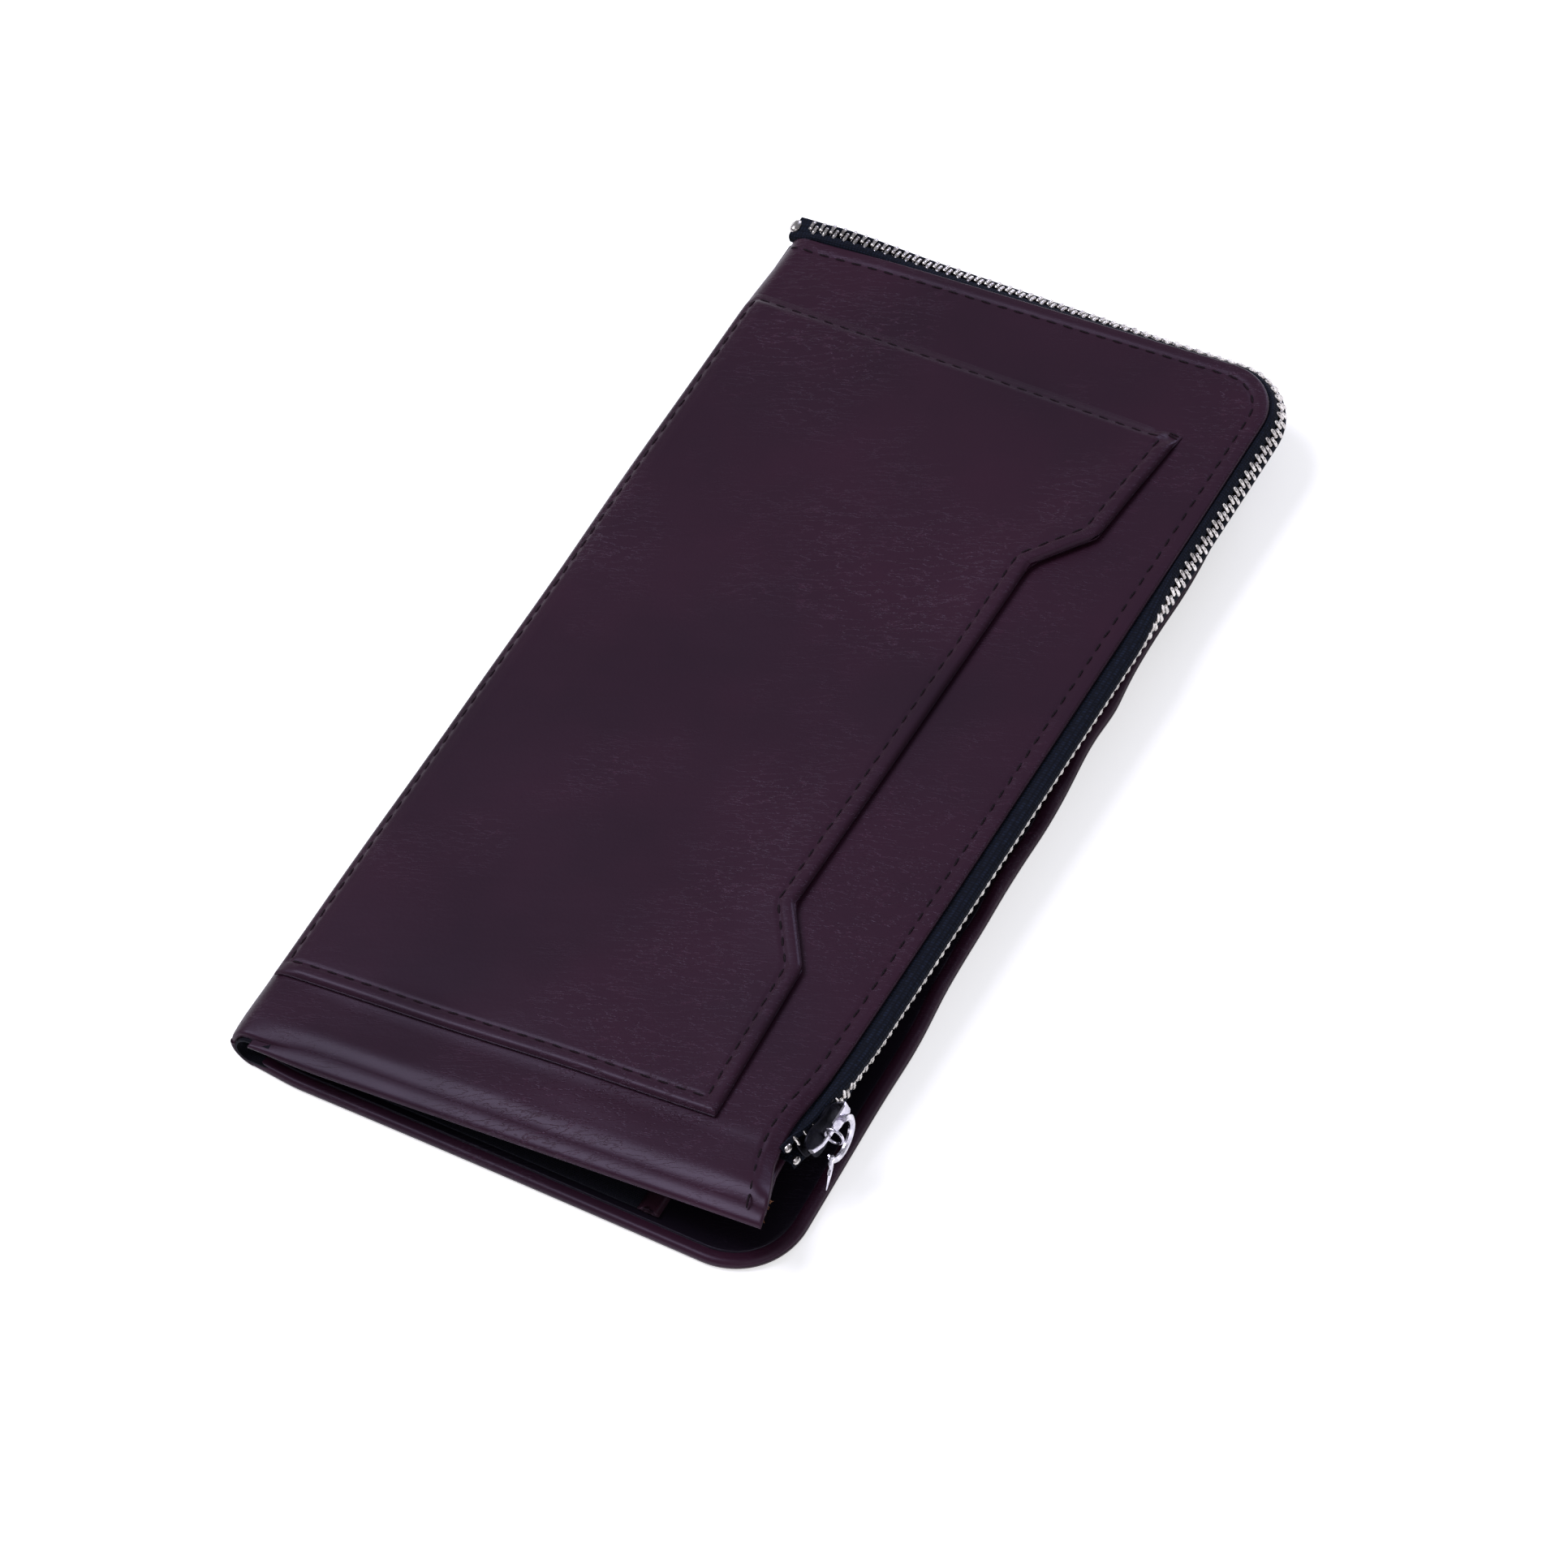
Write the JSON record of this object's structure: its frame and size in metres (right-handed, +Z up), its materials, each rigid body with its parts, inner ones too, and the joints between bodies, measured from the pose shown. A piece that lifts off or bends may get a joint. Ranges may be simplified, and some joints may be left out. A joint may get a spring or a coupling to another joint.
{
  "type": "zippered folding pouch wallet",
  "caption": "Long leather wallet that folds in two; the front leaf is a pouch with a zip round two sides and a stepped slip pocket on its face.",
  "frame": {"origin": "middle of the back cover's resting face", "axes": "+Z up from the resting face, +Y along the spine away from the slider, +X from the spine to the zipped edge"},
  "size_m": [0.1024, 0.1962, 0.0157],
  "materials": {
    "shell_leather": "smooth satin grain",
    "inner_leather": "matt grain",
    "binding_leather": "folded edge binding",
    "lining_fabric": "plain woven lining",
    "tape_fabric": "woven zipper tape",
    "board": "stiffening board",
    "teeth_metal": "nickel silver teeth",
    "hardware_metal": "polished nickel",
    "thread": "twisted thread"
  },
  "bodies": {
    "back_leaf": {"back_cover": "shell_leather", "back_stiffener": "board", "back_inner_facing": "inner_leather", "note_pocket_panel": "lining_fabric", "note_pocket_binding": "binding_leather", "card_slot_lower": "inner_leather", "card_slot_middle": "inner_leather", "card_slot_upper": "inner_leather"},
    "spine": {"spine_leather": "shell_leather", "spine_lining": "lining_fabric"},
    "front_leaf": {"front_panel": "shell_leather", "slip_pocket": "shell_leather", "pouch_front_lining": "lining_fabric", "pouch_back_panel": "shell_leather", "pouch_back_lining": "lining_fabric", "pouch_end_gusset": "inner_leather", "front_seam_thread": "thread", "pocket_seam_thread": "thread", "zipper_tape_front": "tape_fabric", "zipper_tape_back": "tape_fabric", "zipper_teeth_front": "teeth_metal", "zipper_teeth_back": "teeth_metal", "zipper_bottom_stop": "teeth_metal", "zipper_top_stops": "teeth_metal"},
    "slider": {"slider_body": "hardware_metal", "slider_bridge": "hardware_metal"},
    "link": {"pull_link": "hardware_metal"},
    "pull": {"pull_drop": "hardware_metal"}
  },
  "joints": [
    {"name": "spine_fold", "type": "hinge", "parent": "back_leaf", "child": "spine", "pos_m": [-0.0503, 0, 0.0011], "axis": [0, -1, 0], "range_deg": [0, 87]},
    {"name": "front_fold", "type": "hinge", "parent": "spine", "child": "front_leaf", "pos_m": [-0.0503, 0, 0.0071], "axis": [0, -1, 0], "range_deg": [0, 87]},
    {"name": "zip_slide", "type": "slide", "parent": "front_leaf", "child": "slider", "axis": [0, 1, 0], "range_m": [0, 0.15], "deforming": ["zipper_teeth_front", "zipper_teeth_back", "zipper_tape_front", "zipper_tape_back"]},
    {"name": "link_swing", "type": "hinge", "parent": "slider", "child": "link", "pos_m": [0.04835, -0.07575, 0.01353], "axis": [0, -1, 0], "range_deg": [0, 60]},
    {"name": "pull_swing", "type": "hinge", "parent": "link", "child": "pull", "pos_m": [0.04979, -0.07575, 0.01268], "axis": [0, -1, 0], "range_deg": [-20, 0]}
  ],
  "couplings": [
    {"joint": "spine_fold", "follows": "front_fold", "ratio": 1}
  ]
}
